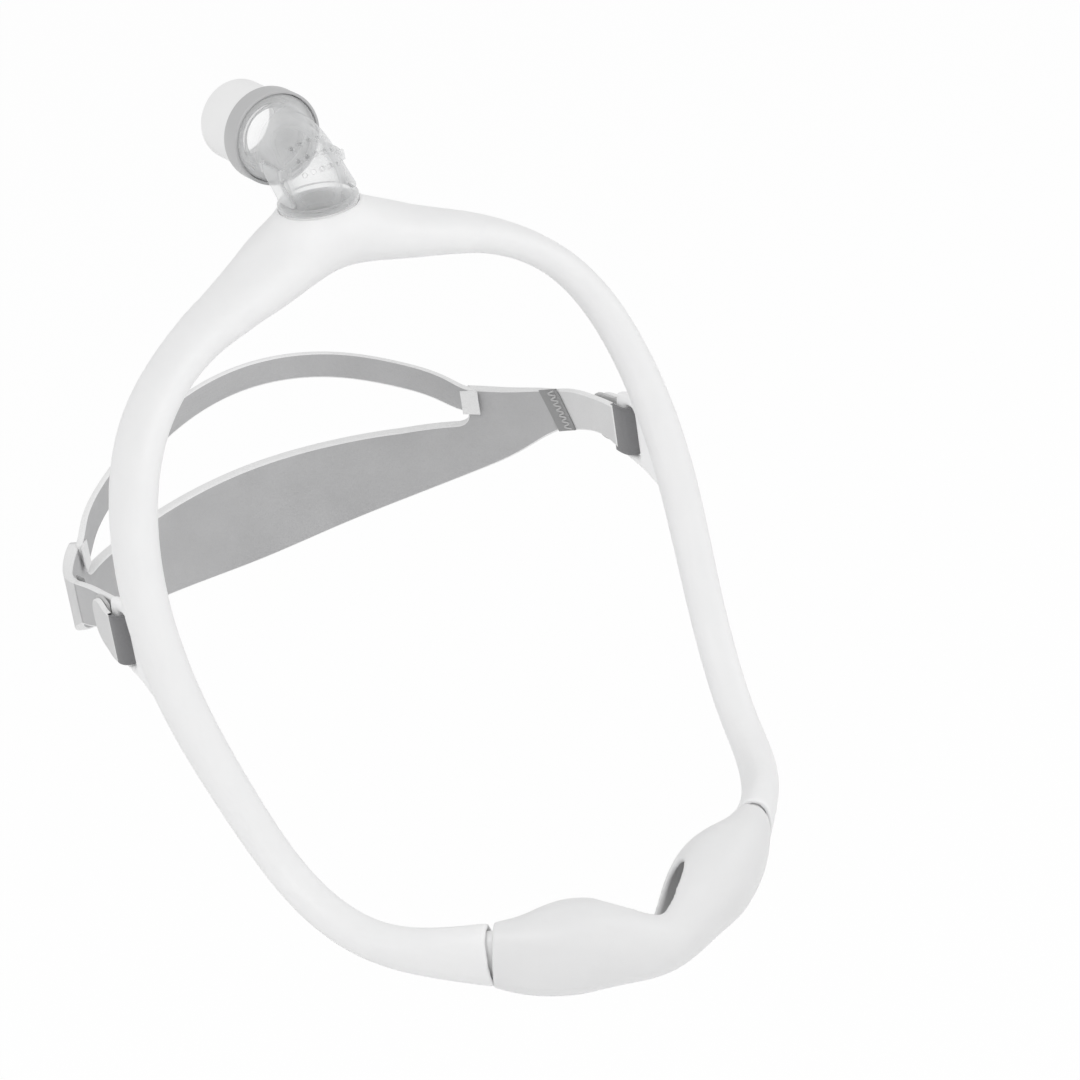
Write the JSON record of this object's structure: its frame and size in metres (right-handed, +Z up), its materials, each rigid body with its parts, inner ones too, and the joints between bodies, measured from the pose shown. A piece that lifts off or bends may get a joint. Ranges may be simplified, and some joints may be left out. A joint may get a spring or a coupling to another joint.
{
  "type": "cpap nasal mask",
  "caption": "Nasal breathing mask: hollow soft loop frame over the crown, clear swivel elbow with hose cuff, under-nose cushion and fabric head straps.",
  "frame": {"origin": "Middle of the wearer's head, level with the strap slots and in the plane of the tube there.", "axes": "+X to the wearer's left, +Y to the back of the head, +Z up."},
  "size_m": [0.1698, 0.2098, 0.2075],
  "materials": {
    "silicone": "soft translucent white silicone with a satin skin",
    "cushion_silicone": "thin translucent white silicone, satin",
    "clear_plastic": "clear polished plastic",
    "white_plastic": "fine satin white plastic",
    "grey_plastic": "satin mid-grey plastic",
    "seal_rubber": "soft translucent rubber",
    "strap_fabric": "grey brushed fabric bonded to pale foam",
    "hook_tape": "grey hook tape with a smooth back",
    "seam_tape": "dark grey bonded seam tape"
  },
  "bodies": {
    "mask": {"frame": "silicone", "crown_socket": "white_plastic", "arm_connector_left": "white_plastic", "arm_connector_right": "white_plastic", "cushion": "cushion_silicone", "back_strap": "strap_fabric", "crown_strap": "strap_fabric", "front_strap_left": "strap_fabric", "front_strap_right": "strap_fabric", "hook_tab_left": "hook_tape", "hook_tab_right": "hook_tape", "front_seam_left": "seam_tape", "front_seam_right": "seam_tape", "crown_seam_left": "seam_tape", "crown_seam_right": "seam_tape"},
    "elbow": {"elbow": "clear_plastic", "elbow_seal": "seal_rubber", "swivel_ring": "grey_plastic"},
    "cuff": {"swivel_cuff": "white_plastic"},
    "tab_left": {"release_tab_left": "clear_plastic"},
    "tab_right": {"release_tab_right": "clear_plastic"}
  },
  "joints": [
    {"name": "elbow_swivel", "type": "hinge", "parent": "mask", "child": "elbow", "pos_m": [0, 0.0243, 0.0875], "axis": [0, 0, 1], "continuous": true},
    {"name": "cuff_swivel", "type": "hinge", "parent": "elbow", "child": "cuff", "pos_m": [0, 0.05, 0.1012], "axis": [0, 1, 0], "continuous": true},
    {"name": "tab_left_squeeze", "type": "hinge", "parent": "elbow", "child": "tab_left", "pos_m": [0.0095, 0.0295, 0.0982], "axis": [0, 1, 0], "range_deg": [0, 3], "stiffness_Nm_per_rad": 0.05},
    {"name": "tab_right_squeeze", "type": "hinge", "parent": "elbow", "child": "tab_right", "pos_m": [-0.0095, 0.0295, 0.0982], "axis": [0, -1, 0], "range_deg": [0, 3], "stiffness_Nm_per_rad": 0.05}
  ]
}
